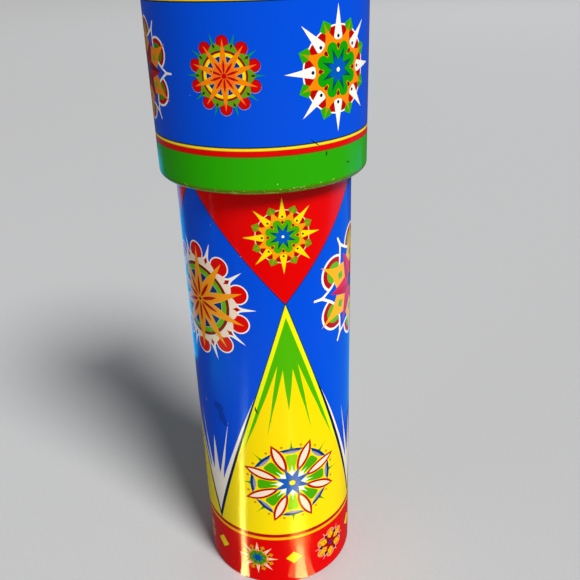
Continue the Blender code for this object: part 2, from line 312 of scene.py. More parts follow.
# A star: its rays, its loops from outside to inside, and the star itself with its squares and heart
LOOP_SPIKE = [
    (0.575, 0.2), (0.667, 0.135), (0.755, 0.078), (0.845, 0.028), (0.9, 0.021), (0.99, 0.018), (1, 0),
]
LOOP_SPIKE_INSIDE = [(0.4, 0.1), (0.55, 0.165), (0.567, 0.16), (0.641, 0.098), (0.727, 0.046), (0.8, 0)]
LOOP_KITE = [
    (0.286, 0), (0.475, 0.208), (0.575, 0.15), (0.655, 0.085), (0.77, 0.045), (0.9, 0.015), (1, 0),
]
LOOP_REACH, LOOP_OUTLINE, LOOP_RING, LOOP_RADIUS, LOOP_FIELD = 0.654, 0.29, 0.252, 0.172, 0.44
STAR_TIP, STAR_NOTCH, STAR_CORE = 0.654, 0.286, 0.12
SQUARE_REACH, SQUARE_TIP, SQUARE_NOTCH = 0.474, 0.075, 0.054
HEART_TIP, HEART_NOTCH = 0.1, 0.045
LOOP_INKS = dict(
    spikes="white", field="blue", outlines="white", rings="ruby", loops="leaf", kites="amber",
    star="magenta", facets="rose", squares="lime", core="purple", heart="sky")


def looped_star(sheet, centre, size, **changes):
    """Six outlined loops and six outlined spikes round a six-pointed star with kites between its tips."""
    rosette = Motif(sheet, centre, size, {**LOOP_INKS, **changes})
    loops = [rosette.point(LOOP_REACH, turn) for turn in around(6, 30)]
    for middle in loops:
        rosette.disc("outlines", LOOP_OUTLINE, middle)
    for middle in loops:
        rosette.disc("rings", LOOP_RING, middle)
        rosette.disc("loops", LOOP_RADIUS, middle)
    rosette.rays(around(6), ("spikes", LOOP_SPIKE), ("field", LOOP_SPIKE_INSIDE))
    rosette.disc("field", LOOP_FIELD)
    rosette.rays(around(6, 30), ("kites", LOOP_KITE))
    rosette.star("star", 6, STAR_TIP, STAR_NOTCH)
    for turn in around(6):
        rosette.paint("facets", [centre, rosette.point(STAR_TIP, turn), rosette.point(STAR_NOTCH, turn + 30)])
    for turn in around(6, 30):
        rosette.star("squares", 4, SQUARE_TIP, SQUARE_NOTCH, turn, rosette.point(SQUARE_REACH, turn))
    rosette.disc("core", STAR_CORE)
    rosette.star("heart", 6, HEART_TIP, HEART_NOTCH, 30)


# A petal wheel: its petals and rays, its crescents as (outer, sagitta, half angle), its dots, star and eye
PETAL_OUTLINE, PETAL = lens(0.215, 0.6, 0.042, 0.029), lens(0.232, 0.594, 0.04)
PETAL_LEAF = [(0.14, 0.02), (0.3, 0.055), (0.38, 0.072), (0.415, 0.071), (0.43, 0.045)]
PETAL_THORN = [(0.5, 0.028), (0.52, 0.026), (0.55, 0.011), (0.6, 0.004), (0.67, 0)]
PETAL_FLAME = [(0.105, 0), (0.15, 0.031), (0.175, 0.03), (0.21, 0.012), (0.28, 0)]
PETAL_FLAME_HEART = [(0.11, 0), (0.15, 0.027), (0.17, 0.025), (0.195, 0.008), (0.22, 0)]
PETAL_CRESCENT, PETAL_CRESCENT_INSIDE = (0.525, 0.075, 17.5), (0.488, 0.038, 14)
PETAL_DOT, PETAL_DOT_REACH, PETAL_DOT_TURN = 0.019, 0.567, 12.2
PETAL_HUB, PETAL_STAR_TIP, PETAL_STAR_NOTCH, PETAL_EYE_EDGE, PETAL_EYE = 0.13, 0.25, 0.105, 0.048, 0.04


def petal_wheel(sheet, centre, size):
    """Eight outlined petals over eight green leaves, with crescents, thorns and dots round them."""
    wheel = Motif(sheet, centre, size, {})
    for turn in around(8):
        wheel.rays([turn], ("leaf", PETAL_THORN))
        wheel.crescent("deep_blue", turn, *PETAL_CRESCENT)
        wheel.crescent("violet", turn, *PETAL_CRESCENT_INSIDE)
        wheel.rays([turn], ("spring" if turn % 180 == 90 else "grass", PETAL_LEAF))
        for side in (-PETAL_DOT_TURN, PETAL_DOT_TURN):
            wheel.disc("gold", PETAL_DOT, wheel.point(PETAL_DOT_REACH, turn + side), 10)
    wheel.disc("royal", PETAL_HUB)
    wheel.rays(around(8, 22.5), ("ruby", PETAL_OUTLINE), ("cream", PETAL))
    wheel.star("sky", 8, PETAL_STAR_TIP, PETAL_STAR_NOTCH, 22.5)
    wheel.rays(around(8), ("mint", PETAL_FLAME), ("white", PETAL_FLAME_HEART))
    wheel.disc("deep_blue", PETAL_EYE_EDGE)
    wheel.disc("lemon", PETAL_EYE)


# ---- the tube's sheet

# Azimuths round the tube, in degrees. A pennant or a valley is its middle, and how far the pennant sides on
# its left and right spread at the foot. A valley also has how far its left arm stands off the pennant.
PENNANTS = ((9.6, 61.1, 63.7), (131.75, 58.7, 58.7), (249.25, 58.7, 58.7))
VALLEYS = ((-52, 58.75, 61.6, 0), (73, 63.4, 58.75, 0.022), (190.5, 58.75, 58.75, 0))
FOOT_DIAMONDS = (-52, 9.5, 71, 131.75, 190.5, 249.25)
FOOT_CLOVERS = (-19, 102, 220)
FOOT_STARS = (42.6, 161, 279)
# Heights and widths, in tube radii
RED_APEX = 4.29
RED_CORNER = 5.645
YELLOW_APEX = 4.28
YELLOW_FOOT = 0.9
BORDER, BORDER_NARROWS, BORDER_FOOT = 0.05, 2.4, 2.05
FLAME_FOOT = 2.29
TRAP = 0.011
AMBER_LINE = (0.8, 0.845)
FOOT_DIAMOND, DIAMOND_TIP, DIAMOND_NOTCH = 0.46, 0.108, 0.076
# Rosettes, as (height, size) on each pennant and along the foot, and as (azimuth, height, size) in the fields
RED_CLOVER, PENNANT_WHEEL, PENNANT_WHEEL_SHIFT = (5.084, 0.43), (1.754, 1.03), 0.01
FOOT_CLOVER, FOOT_STAR = (0.452, 0.285), (0.444, 0.27)
FIELD_WHEEL, FIELD_STAR, FIELD_CLOVER = (-52.9, 4.221, 0.772), (73, 4.24, 0.765), (190.5, 4.24, 0.74)
# The lower edge of a pennant's green tip, from its side to its middle, as (offset, height)
FLAMES = (
    (0.462, 2.563), (0.412, 2.683), (0.355, 2.85), (0.265, 3.083), (0.119, 3.5), (0.187, 3.083),
    (0.218, 2.85), (0.246, 2.683), (0.275, 2.51), (0.234, 2.683), (0.195, 2.86), (0.137, 3.083),
    (0.058, 3.44), (0.034, 3.15), (0, 2.86),
)
# The white burst in a valley: its spikes from the middle outwards as (offset, height), and the side of its
# outermost arm by the pennant as (height, distance, share of the stand-off)
CROWN_SPIKES = (
    (0, 2.29), (0.022, 2.1), (0.046, 1.82), (0.06, 1.7), (0.093, 1.8), (0.142, 2), (0.193, 2.2),
    (0.286, 2.61), (0.25, 2.4), (0.213, 2.2), (0.184, 2), (0.141, 1.8), (0.127, 1.64), (0.185, 1.8),
    (0.262, 2), (0.338, 2.2), (0.412, 2.4), (0.487, 2.6), (0.547, 2.75),
)
CROWN_ARM = (
    (3.05, 0.014, 0.7), (2.85, 0.022, 0.7), (2.6, 0.023, 0.9), (2.1, 0.031, 1), (1.6, 0.039, 0.7),
    (1.2, 0.043, 0),
)
# A dark reflection painted on the blue in two patches, and a scratch, as (ink, azimuth, height, wide, tall,
# seed, lean), and a crescent-shaped nick
TUBE_REFLECTION_AND_SCRATCH = (
    ("night", -43.3, 2.79, 0.3, 0.17, 31), ("night", -40.3, 2.65, 0.17, 0.32, 32, -0.2),
    ("speck", -58, 2.78, 0.008, 0.07, 33, -0.5),
)
NICK_PLACE, NICK = (-9.4, 2.9), (198, 0.078, 0.022, 50)


def joined(middle, left, right):
    """A closed outline from its two halves, each listed from top to bottom as (offset, height)."""
    back = [(middle - offset, height) for offset, height in reversed(left) if offset > 0]
    return [(middle + offset, height) for offset, height in right] + back


def reach_at(spread, height):
    """How far a pennant's side is from its middle at a height, from how it spreads at the foot."""
    return radians(spread) * (YELLOW_APEX - height) / (YELLOW_APEX - YELLOW_FOOT)


def red_half(spread, edge):
    """One half of a hanging red triangle, which reaches up under the drum. edge lowers its slope."""
    half = radians(spread)
    drop = edge / sin(atan2(half, RED_CORNER - RED_APEX))
    top = TUBE_TOP / UNIT - 0.01
    return [(0, top), (half, top), (half, RED_CORNER - drop), (0, RED_APEX - drop)]


def yellow_half(spread, edge):
    """One half of a yellow pennant. edge widens it, for its dark outline."""
    foot = AMBER_LINE[1] + 0.03
    reach = radians(spread) + edge
    apex = YELLOW_APEX + edge * (YELLOW_APEX - YELLOW_FOOT) / radians(spread)
    return [(0, apex), (reach, YELLOW_FOOT), (reach, foot), (0, foot)]


def bordered(spread, foot):
    """The top of a pennant's inside, which leaves its border, down to a height on the way."""
    slope = atan(reach_at(spread, YELLOW_APEX - 1))
    inside = reach_at(spread, foot) - BORDER / cos(slope)
    return [(0, YELLOW_APEX - BORDER / sin(slope)), (inside, foot)]


def field_half(spread):
    """One half of the deeper yellow in a pennant, which leaves a paler border beside the green tip."""
    foot = [(reach_at(spread, BORDER_FOOT), BORDER_FOOT)]
    return bordered(spread, BORDER_NARROWS) + foot + yellow_half(spread, 0)[1:]


def flame_half(spread):
    """Half of a pennant's green tip, whose lower edge is spikes."""
    share = spread / PENNANTS[0][1]
    return bordered(spread, FLAME_FOOT) + [(offset * share, height) for offset, height in FLAMES]


def crown_half(spread, ink, stand_off):
    """Half of the burst in the valley between two pennants: its dark edge, the field in it, or its white."""
    def gap(height, edge=0):
        return radians(spread) - reach_at(spread, height) - edge, height
    if ink == "navy":
        return [(0, 3.3), gap(3.4), gap(0.97), (0, 0.94)]
    if ink == "blue":
        return [(0, 3.42), gap(3.42), gap(2.9, 0.016 + stand_off), gap(2.4, 0.03 + stand_off), (0, 1.12)]
    arm = [gap(height, edge + share * stand_off) for height, edge, share in CROWN_ARM]
    return list(CROWN_SPIKES) + arm + [(0, 1.02)]


def chip(sheet, ink, azimuth, height, wide, tall, seed, lean=0):
    """A small ragged spot where the print has come off, or a patch of painted reflection."""
    ragged = random.Random(seed)
    middle = sheet.at(azimuth, height)
    points = []
    for step in range(9):
        angle = tau * step / 9
        reach = ragged.uniform(0.55, 1)
        across, up = wide * reach * cos(angle) / 2, tall * reach * sin(angle) / 2
        points.append((middle[0] + across + lean * up, middle[1] + up))
    sheet.paint(ink, points)


class Scatter:
    """Small chips at random places, all from one seeded run of draws."""

    def __init__(self, sheet, seed):
        self.sheet, self.draws = sheet, random.Random(seed)

    def draw(self, limits):
        """A measure between two limits, or most often near the third."""
        return (self.draws.triangular if len(limits) == 3 else self.draws.uniform)(*limits)

    def strew(self, count, seed, inks, wide, tall, base=0, slope=1, azimuths=(0, 360), **measures):
        """Chips as wide and tall as shares of a size, at heights that are drawn from a base. measures are the
        limits of the size and the height, in the order of their draws."""
        for number in range(seed, seed + count):
            azimuth = self.draws.uniform(*azimuths)
            drawn = {name: self.draw(limits) for name, limits in measures.items()}
            ink = self.draws.choice(inks)
            share = self.draw(tall) if isinstance(tall, tuple) else tall
            height, size = base + slope * drawn["height"], drawn["size"]
            chip(self.sheet, ink, azimuth, height, wide * size, share * size, number)


def dashes(sheet, ink, start, end, height, thick, seed, cover=0.8):
    """A thin rubbed line along a turned edge, broken into uneven lengths."""
    uneven = random.Random(seed)
    azimuth = start
    while azimuth < end:
        length = uneven.uniform(1.5, 7)
        if uneven.random() < cover:
            middle = height + uneven.uniform(-0.003, 0.003)
            last = min(end, azimuth + length)
            points = []
            for side in (-1, 1):
                for step in range(5):
                    share = step / 4 if side < 0 else 1 - step / 4
                    swell = thick / 2 * sin(pi * (0.12 + 0.76 * share)) * uneven.uniform(0.6, 1.1)
                    points.append(sheet.at(azimuth + (last - azimuth) * share, middle + side * swell))
            sheet.paint(ink, points)
        azimuth += length + uneven.uniform(0.2, 1)


def tube_print():
    """The tube: three pennants with rosettes, a rosette in each field between, and a red foot band."""
    low = (TUBE_CORNER - TUBE_CORNER * pi / 2) / UNIT
    sheet = Sheet(UNIT, PENNANTS[0][0], low, TUBE_TOP / UNIT, "blue")

    def both(ink, half, azimuth, left, right, *edge):
        """Paints both halves of a pennant's shape."""
        sheet.paint(ink, joined(sheet.at(azimuth, 0)[0], half(left, *edge), half(right, *edge)))

    for pennant in PENNANTS:
        both("navy", red_half, *pennant, TRAP)
        both("red", red_half, *pennant, 0)
    for azimuth, left, right, stand_off in VALLEYS:
        middle = sheet.at(azimuth, 0)[0]
        for ink in ("navy", "blue", "ivory"):
            sheet.paint(ink, joined(middle, crown_half(left, ink, stand_off), crown_half(right, ink, 0)))
    for pennant in PENNANTS:
        both("pine", yellow_half, *pennant, TRAP)
        both("citron", yellow_half, *pennant, 0)
        both("yellow", field_half, *pennant)
        both("flare", flame_half, *pennant)
        spiked_clover(
            sheet, *sheet.spot(pennant[0], *RED_CLOVER), spikes="yellow", arcs="peach", dots="soot",
            leaves="sage", veins="lime", points="apricot", clover="grass")
        (u, v), size = sheet.spot(pennant[0], *PENNANT_WHEEL)
        petal_wheel(sheet, (u + PENNANT_WHEEL_SHIFT, v), size)
    sheet.band("ruby", AMBER_LINE[1], YELLOW_FOOT)
    sheet.band("amber", AMBER_LINE[0], AMBER_LINE[1])
    sheet.band("red", low, AMBER_LINE[0])
    lobed_wheel(sheet, *sheet.spot(*FIELD_WHEEL))
    looped_star(sheet, *sheet.spot(*FIELD_STAR), loops="lime")
    spiked_clover(sheet, *sheet.spot(*FIELD_CLOVER))
    for azimuth in FOOT_CLOVERS:
        spiked_clover(
            sheet, *sheet.spot(azimuth, *FOOT_CLOVER), rim=False, spikes="peach", leaves="gold", veins="gold",
            points="tan", ends="gold", clover="leaf", sectors="wine", stars=("royal",) * 3, dots="wine",
            gaps="wine", eye="royal")
    for azimuth in FOOT_STARS:
        looped_star(
            sheet, *sheet.spot(azimuth, *FOOT_STAR), outlines="salmon", rings="tan", loops="gold",
            kites="amber", spikes="salmon", field="plum", star="ruby", facets="dark_red", squares="tan",
            heart="purple")
    for azimuth in FOOT_DIAMONDS:
        sheet.paint("yellow", star(sheet.at(azimuth, FOOT_DIAMOND), 4, DIAMOND_TIP, DIAMOND_NOTCH, 90))
    tube_wear_and_reflection(sheet)
    return sheet


def tube_wear_and_reflection(sheet):
    """Chips, nicks and rubbed spots of the tube, and a dark reflection painted on its blue."""
    # The first two marks are a dark reflection painted on the blue; the last is a scratch.
    for placed in TUBE_REFLECTION_AND_SCRATCH:
        chip(sheet, *placed)
    Motif(sheet, sheet.at(*NICK_PLACE), 1, {}).crescent("bronze", *NICK)
    spots = Scatter(sheet, 21)
    spots.strew(70, 0, ("speck", "chip", "chip"), 1, (0.6, 1.8), height=(0.1, 5.4), size=(0.005, 0.012))
    spots.strew(90, 200, ("speck", "chip", "wine"), 1.5, 0.45, sheet.low, height=(0.012, 0.045),
                size=(0.008, 0.03))


# ---- the drum's sheet

# The first stripe is painted shade: a darker olive over each turned edge, at the bottom and, mirrored, at the
# top.
# The top of each stripe of the lower band, upwards from the drum's edge. The upper band is its mirror image
DRUM_STRIPES = (
    ("moss", 5.658), ("green", 5.979), ("olive", 5.988), ("dark_red", 5.993), ("red", 6.037),
    ("dark_red", 6.042), ("amber", 6.05), ("lemon", 6.065), ("amber", 6.071), ("pine", 6.083),
)
DRUM_MIDDLE, DRUM_FRONT = 6.7275, 12
# Each kind of rosette on the drum: its azimuth, height and size
DRUM_WHEEL, DRUM_CLOVER, DRUM_STAR = (-16.2, 6.745, 0.39), (40.2, 6.735, 0.59), (-72.4, 6.735, 0.54)
# The rubbed line along a turned edge: its height, thickness, and stretches as (start, end, cover, seed)
EDGE_LINE, EDGE_LINE_WIDTH = 5.622, 0.012
EDGE_STRETCHES = (
    (-45, 35, 0.9, 61), (35, 75, 0.55, 62), (75, 180, 0.7, 63), (180, 270, 0.8, 64), (270, 315, 0.6, 65),
)
# Its larger chips, and the small ones along the front of the lower edge as (azimuth, height, ink)
DRUM_CHIPS = (
    ("pine", 26.3, 6.072, 0.022, 0.1, 5, -1.3), ("soot", 32.5, 5.95, 0.026, 0.062, 6),
    ("soot", 48, 5.8, 0.05, 0.034, 7, -0.5), ("chip", 7, 6, 0.04, 0.011, 8),
)
EDGE_CHIPS = (
    (14.5, 5.655, "pale"), (16.2, 5.66, "pale"), (18, 5.652, "pale"), (19.6, 5.657, "pale"),
    (-44, 5.655, "pale"), (-42.6, 5.65, "pale"), (-2, 5.655, "soot"), (16.5, 5.668, "soot"),
    (26, 5.662, "soot"), (29, 5.668, "pale"), (33, 5.664, "soot"), (37, 5.67, "pale"),
    (40, 5.668, "soot"), (50.5, 5.68, "soot"), (51.8, 5.684, "pale"), (53, 5.678, "soot"),
)
# Where the rub along both edges is at its thickest
RUBBED_EDGE = 5.64


def drum_print():
    """The drum: a blue field with six rosettes between two striped green bands."""
    quarter = DRUM_CORNER * pi / 2
    low = (DRUM_BOTTOM + DRUM_CORNER - quarter) / UNIT
    high = (DRUM_TOP - DRUM_CORNER + quarter) / UNIT
    sheet = Sheet(DRUM_RADIUS, DRUM_FRONT, low, high, "blue")
    for ink, top in reversed(DRUM_STRIPES):
        sheet.band(ink, low, top)
        sheet.band(ink, 2 * DRUM_MIDDLE - top, high)
    for turn in (0, 180):
        lobed_wheel(
            sheet, *sheet.spot(*DRUM_WHEEL, turn), NARROW_WHEEL_FOOT, WIDE_WHEEL_EYE, outlines="wine",
            shade="lilac", lobes="scarlet", base="sage", spikes="sage", tips="jade", diamonds="bronze",
            ring="yellow", ring_edge="amber", rays="orange", flames="flame", eye="scarlet")
        spiked_clover(sheet, *sheet.spot(*DRUM_CLOVER, turn), clover="fern")
        looped_star(sheet, *sheet.spot(*DRUM_STAR, turn), kites="orange", star="ruby", facets="wine")
    drum_wear(sheet)
    return sheet


def drum_wear(sheet):
    """The drum's scratches, its chips, and the rubbed print along both turned edges."""
    for placed in DRUM_CHIPS:
        chip(sheet, *placed)
    top = 2 * DRUM_MIDDLE
    for start, end, cover, seed in EDGE_STRETCHES:
        dashes(sheet, "khaki", start, end, EDGE_LINE, EDGE_LINE_WIDTH, seed, cover)
        dashes(sheet, "khaki", start, end, top - EDGE_LINE, EDGE_LINE_WIDTH, seed + 10, cover)
    for azimuth, height, ink in EDGE_CHIPS:
        chip(sheet, ink, azimuth, height, 0.022, 0.01, round(100 * (azimuth + 90)))
    worn = Scatter(sheet, 8)
    for count, seed, azimuths in ((150, 400, (54, 312)), (80, 550, (-48, 54))):
        worn.strew(count, seed, ("pale", "soot", "soot"), 1.8, 0.7, RUBBED_EDGE, -0.8, azimuths,
                   size=(0.005, 0.013), height=(-0.03, 0.075, 0))
    worn.strew(150, 900, ("pale", "soot", "speck"), 1.7, 0.6, top - RUBBED_EDGE, size=(0.005, 0.014),
               height=(-0.03, 0.06, 0))
    worn.strew(50, 1200, ("speck", "chip"), 1, (0.6, 1.6), height=(5.7, 7.75), size=(0.005, 0.011))


# ---- rolling a sheet into a shell

class Roll:
    """How a flat sheet lies round its cylinder: its outer radius, ends and turned corners, in metres."""

    def __init__(self, sheet, radius, bottom, top, corner, top_corner):
        self.sheet, self.radius = sheet, radius
        self.corner, self.top_corner = corner, top_corner
        self.low_edge = bottom + corner
        self.high_edge = top - top_corner

    def seam_depth(self, u):
        """How deep the shell is pressed in near its seam, which is where the sheet's ends meet."""
        away = min(u - self.sheet.left, self.sheet.right - u) * UNIT
        if away < SEAM_LINE_HALF_WIDTH:
            return SEAM_LINE_DEPTH + (SEAM_DEPTH - SEAM_LINE_DEPTH) * away / SEAM_LINE_HALF_WIDTH
        if away < SEAM_HALF_WIDTH - SEAM_SLOPE:
            return SEAM_DEPTH
        return SEAM_DEPTH * max(0, SEAM_HALF_WIDTH - away) / SEAM_SLOPE

    def section(self, v):
        """The radius, height and outward tilt of the shell's outer side at a sheet height."""
        height = v * UNIT
        for edge, corner, side in ((self.low_edge, self.corner, -1), (self.high_edge, self.top_corner, 1)):
            past = side * (height - edge)
            if corner and past > 0:
                bend = past / corner
                inwards = corner * (1 - cos(bend))
                return self.radius - inwards, edge + side * corner * sin(bend), side * bend
        return self.radius, height, 0

    def place(self, u, v):
        radius, height, _ = self.section(v)
        radius -= self.seam_depth(u)
        turn = u / self.sheet.radius
        return Vector((radius * sin(turn), -radius * cos(turn), height))

    def normal(self, u, v):
        tilt = self.section(v)[2]
        turn = u / self.sheet.radius
        return Vector((cos(tilt) * sin(turn), -cos(tilt) * cos(turn), sin(tilt)))


def cut_layers(roll):
    """The sheet's layers as one flat set of triangles: points, triangles, and the ink of each."""
    sheet = roll.sheet
    points, faces, edges = [], [], []
    for ink, outline in sheet.layers:
        faces.append(list(range(len(points), len(points) + len(outline))))
        points.extend(Vector(point) for point in outline)

    def line(start, end):
        edges.append((len(points), len(points) + 1))
        points.extend((Vector(start), Vector(end)))

    width = sheet.right - sheet.left
    columns = [sheet.left + width * step / COLUMNS for step in range(1, COLUMNS)]
    for offset in (SEAM_LINE_HALF_WIDTH, SEAM_HALF_WIDTH - SEAM_SLOPE, SEAM_HALF_WIDTH):
        columns += [sheet.left + offset / UNIT, sheet.right - offset / UNIT]
    for u in columns:
        line((u, sheet.low), (u, sheet.high))
    for step in range(1, CORNER_ROWS + 1):
        v = sheet.low + (roll.low_edge / UNIT - sheet.low) * step / CORNER_ROWS
        line((sheet.left, v), (sheet.right, v))
    for step in range(1, CORNER_ROWS + 1 if roll.top_corner else 1):
        v = sheet.high - (sheet.high - roll.high_edge / UNIT) * step / CORNER_ROWS
        line((sheet.left, v), (sheet.right, v))
    flat, _, triangles, _, _, sources = delaunay_2d_cdt(points, edges, faces, 1, CUT_TOLERANCE, True)
    kept = [(triangle, sheet.layers[max(source)][0])
            for triangle, source in zip(triangles, sources) if 0 in source]
    return flat, [triangle for triangle, ink in kept], [ink for triangle, ink in kept]


def outwards(place):
    """The level direction from the axis to a place."""
    return Vector((place.x, place.y, 0)).normalized()


def rolled(name, roll, rings, materials):
    """The printed shell: the cut sheet on its outside, and the rings of its turned edges and its inside.

    Each ring is (radius, height, ink): its strip of faces runs to it from the ring before it."""
    flat, triangles, inks = cut_layers(roll)
    names = sorted(set(inks) | {ink for _, _, ink in rings})
    shell = bmesh.new()
    layer = shell.verts.layers.float_vector.new("flat")
    outside = []
    for u, v in flat:
        vertex = shell.verts.new(roll.place(u, v))
        vertex[layer] = (u, v, 1)
        outside.append(vertex)
    for triangle, ink in zip(triangles, inks):
        face = shell.faces.new([outside[index] for index in triangle])
        face.material_index = names.index(ink)
    bmesh.ops.delete(shell, geom=[v for v in shell.verts if not v.link_faces], context="VERTS")
    bmesh.ops.remove_doubles(shell, verts=shell.verts, dist=WELD)
    bottom = [e for e in shell.edges if e.is_boundary and e.verts[0].co.z < roll.low_edge]
    for radius, height, ink in rings:
        made = bmesh.ops.extrude_edge_only(shell, edges=bottom)["geom"]
        bottom = [e for e in made if isinstance(e, bmesh.types.BMEdge) and all(
            v in made for v in e.verts) and e.is_boundary]
        for vertex in (v for v in made if isinstance(v, bmesh.types.BMVert)):
            out = outwards(vertex.co)
            vertex.co = Vector((out.x * radius, out.y * radius, height))
            vertex[layer] = (0, 0, 0)
        for face in (f for f in made if isinstance(f, bmesh.types.BMFace)):
            face.material_index = names.index(ink)
    bmesh.ops.remove_doubles(shell, verts=shell.verts, dist=WELD)
    bmesh.ops.recalc_face_normals(shell, faces=shell.faces)
    mesh = bpy.data.meshes.new(name)
    shell.to_mesh(mesh)
    shell.free()
    for ink in names:
        mesh.materials.append(materials[ink])
    set_normals(mesh, roll)
    return put(name, mesh)


def set_normals(mesh, roll):
    """Gives the printed side the cylinder's own normals, and each ring of the rest its own slope."""
    flat = [Vector(item.vector) for item in mesh.attributes["flat"].data]
    seam = SEAM_HALF_WIDTH / UNIT * 1.01
    normals = []
    for face in mesh.polygons:
        corners = [flat[index] for index in face.vertices]
        printed = all(corner.z > 0.5 for corner in corners)
        middle = sum(corner.x for corner in corners) / len(corners)
        near_seam = printed and min(middle - roll.sheet.left, roll.sheet.right - middle) < seam
        lean = face.normal.dot(outwards(face.center))
        for index, corner in zip(face.vertices, corners):
            if near_seam:
                normals.append(face.normal.copy())
            elif printed:
                normals.append(roll.normal(corner.x, corner.y))
            else:
                away = outwards(mesh.vertices[index].co)
                normals.append(Vector((away.x * lean, away.y * lean, face.normal.z)).normalized())
    mesh.shade_smooth()
    mesh.normals_split_custom_set(normals)
    mesh.attributes.remove(mesh.attributes["flat"])


def arc_rings(centre_radius, centre_height, radius, start, end, ink):
    """Rings along a round corner, from the angle start to end in degrees."""
    turns = [radians(start + (end - start) * step / CORNER_ROWS) for step in range(CORNER_ROWS + 1)]
    return [(centre_radius + radius * cos(a), centre_height + radius * sin(a), ink) for a in turns]


def printed_tube(materials):
    sheet = tube_print()
    roll = Roll(sheet, UNIT, 0, TUBE_TOP, TUBE_CORNER, 0)
    bend = UNIT - TUBE_CORNER
    bore = UNIT - TIN
    rings = [(UNIT - TUBE_LIP, 0, "red"), (UNIT - TUBE_LIP, TIN, "tin")]
    rings += arc_rings(bend, TUBE_CORNER, TUBE_CORNER - TIN, -90, 0, "tin")
    rings += [(bore, TUBE_TOP, "tin"), (UNIT, TUBE_TOP, "tin")]
    piece = rolled("printed_tube", roll, rings, materials)
    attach(piece, "tube")
    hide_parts("body_tube")


def printed_drum(materials):
    sheet = drum_print()
    roll = Roll(sheet, DRUM_RADIUS, DRUM_BOTTOM, DRUM_TOP, DRUM_CORNER, DRUM_CORNER)
    bend = DRUM_RADIUS - DRUM_CORNER
    neck = UNIT + RUNNING_GAP
    rim = DRUM_RADIUS - DRUM_TOP_LIP
    low, high = DRUM_BOTTOM + DRUM_CORNER, DRUM_TOP - DRUM_CORNER
    rings = [(neck, DRUM_BOTTOM, "green"), (neck, DRUM_BOTTOM + TIN, "tin")]
    rings += arc_rings(bend, low, DRUM_CORNER - TIN, -90, 0, "tin")
    rings += arc_rings(bend, high, DRUM_CORNER - TIN, 0, 90, "tin")
    rings += [(rim, DRUM_TOP - TIN, "tin"), (rim, DRUM_TOP, "tin"), (bend, DRUM_TOP, "green")]
    piece = rolled("printed_drum", roll, rings, materials)
    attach(piece, "drum")
    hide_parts("drum_shell")


# ---- turned pieces

def turned(name, profile, material, body, node):
    """A piece turned about the axis from a profile of (radius, height) points, in metres, that runs all
    round its section. A point on the axis closes the piece there."""
    mesh = bpy.data.meshes.new(name)
    shape = bmesh.new()
    rings = []
    for radius, height in profile:
        if radius == 0:
            rings.append([shape.verts.new((0, 0, height))] * COLUMNS)
            continue
        turns = [tau * step / COLUMNS for step in range(COLUMNS)]
        rings.append([shape.verts.new((radius * cos(a), radius * sin(a), height)) for a in turns])
    closed = profile[0][0] > 0
    pairs = list(zip(rings, rings[1:] + rings[:1])) if closed else list(zip(rings, rings[1:]))
    for first, second in pairs:
        for step in range(COLUMNS):
            ahead = (step + 1) % COLUMNS
            corners = [first[step], first[ahead], second[ahead], second[step]]
            shape.faces.new(list(dict.fromkeys(corners)))
    bmesh.ops.recalc_face_normals(shape, faces=shape.faces)
    for face in shape.faces:
        face.smooth = True
    for edge in shape.edges:
        edge.smooth = edge.calc_face_angle(0) < radians(SHARP_EDGE)
    shape.to_mesh(mesh)
    shape.free()
    mesh.materials.append(material)
    piece = put(name, mesh)
    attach(piece, body)
    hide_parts(node)


def rounded(corners, radius, steps=4):
    """A profile from (radius, height) corners, with each corner rounded. It runs all round the section."""
    points = []
    for index, corner in enumerate(corners):
        here = Vector(corner)
        before = (Vector(corners[index - 1]) - here).normalized()
        after = (Vector(corners[(index + 1) % len(corners)]) - here).normalized()
        if here.x == 0:
            points.append(tuple(here))
            continue
        start, end = here + before * radius, here + after * radius
        for step in range(steps + 1):
            share = step / steps
            points.append(tuple(start.lerp(here, share).lerp(here.lerp(end, share), share)))
    return points


def eyepiece(material):
    """The moulded cap with its dished eye hole, which faces the floor."""
    low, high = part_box("eyepiece_cap")[0].z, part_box("eyepiece_cap")[1].z
    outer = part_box("eyepiece_cap")[1].x
    dish = low + EYE_DISH_DEPTH
    turned("eyepiece_moulding", rounded([
        (EYE_HOLE_RADIUS, dish), (EYE_DISH_RADIUS - EYE_DISH_DEPTH, dish), (EYE_DISH_RADIUS, low),
        (outer - EYE_DISH_DEPTH, low), (outer, low + EYE_DISH_DEPTH), (outer, high), (EYE_HOLE_RADIUS, high),
    ], EYE_CORNER), material, "tube", "eyepiece_cap")


def frosted_end(material):
    """The frosted disc at the far end, with rounded edges and a moulded ring near its edge."""
    low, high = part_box("diffuser")[0].z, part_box("diffuser")[1].z
    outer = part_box("diffuser")[1].x
    turned("frosted_end", [
        (0, low), (outer - FROST_CORNER, low), (outer, low + FROST_CORNER), (outer, high - FROST_CORNER),
        (outer - FROST_CORNER, high), (FROST_RING + FROST_RING_WIDTH, high),
        (FROST_RING, high - FROST_RING_DEPTH), (FROST_RING - FROST_RING_WIDTH, high), (0, high),
    ], material, "drum", "diffuser")


# ---- materials

# The lacquer over the print: its specular level and roughness, then its smears, dents and grain as noise
# scales, and the depths of the last two in metres
LACQUER_SPECULAR = 0.14
LACQUER_ROUGHNESS = (0.1, 0.24)
SMEARS, DENTS, GRAIN = 55, 34, 2600
DENT_DEPTH, GRAIN_DEPTH = 0.00035, 0.00004
BEAD_COLOURS = dict(
    ruby=(200, 16, 40), amber=(250, 160, 10), teal=(0, 150, 150), violet=(120, 50, 190),
    lime=(120, 210, 30), azure=(20, 110, 235), rose=(240, 80, 140))


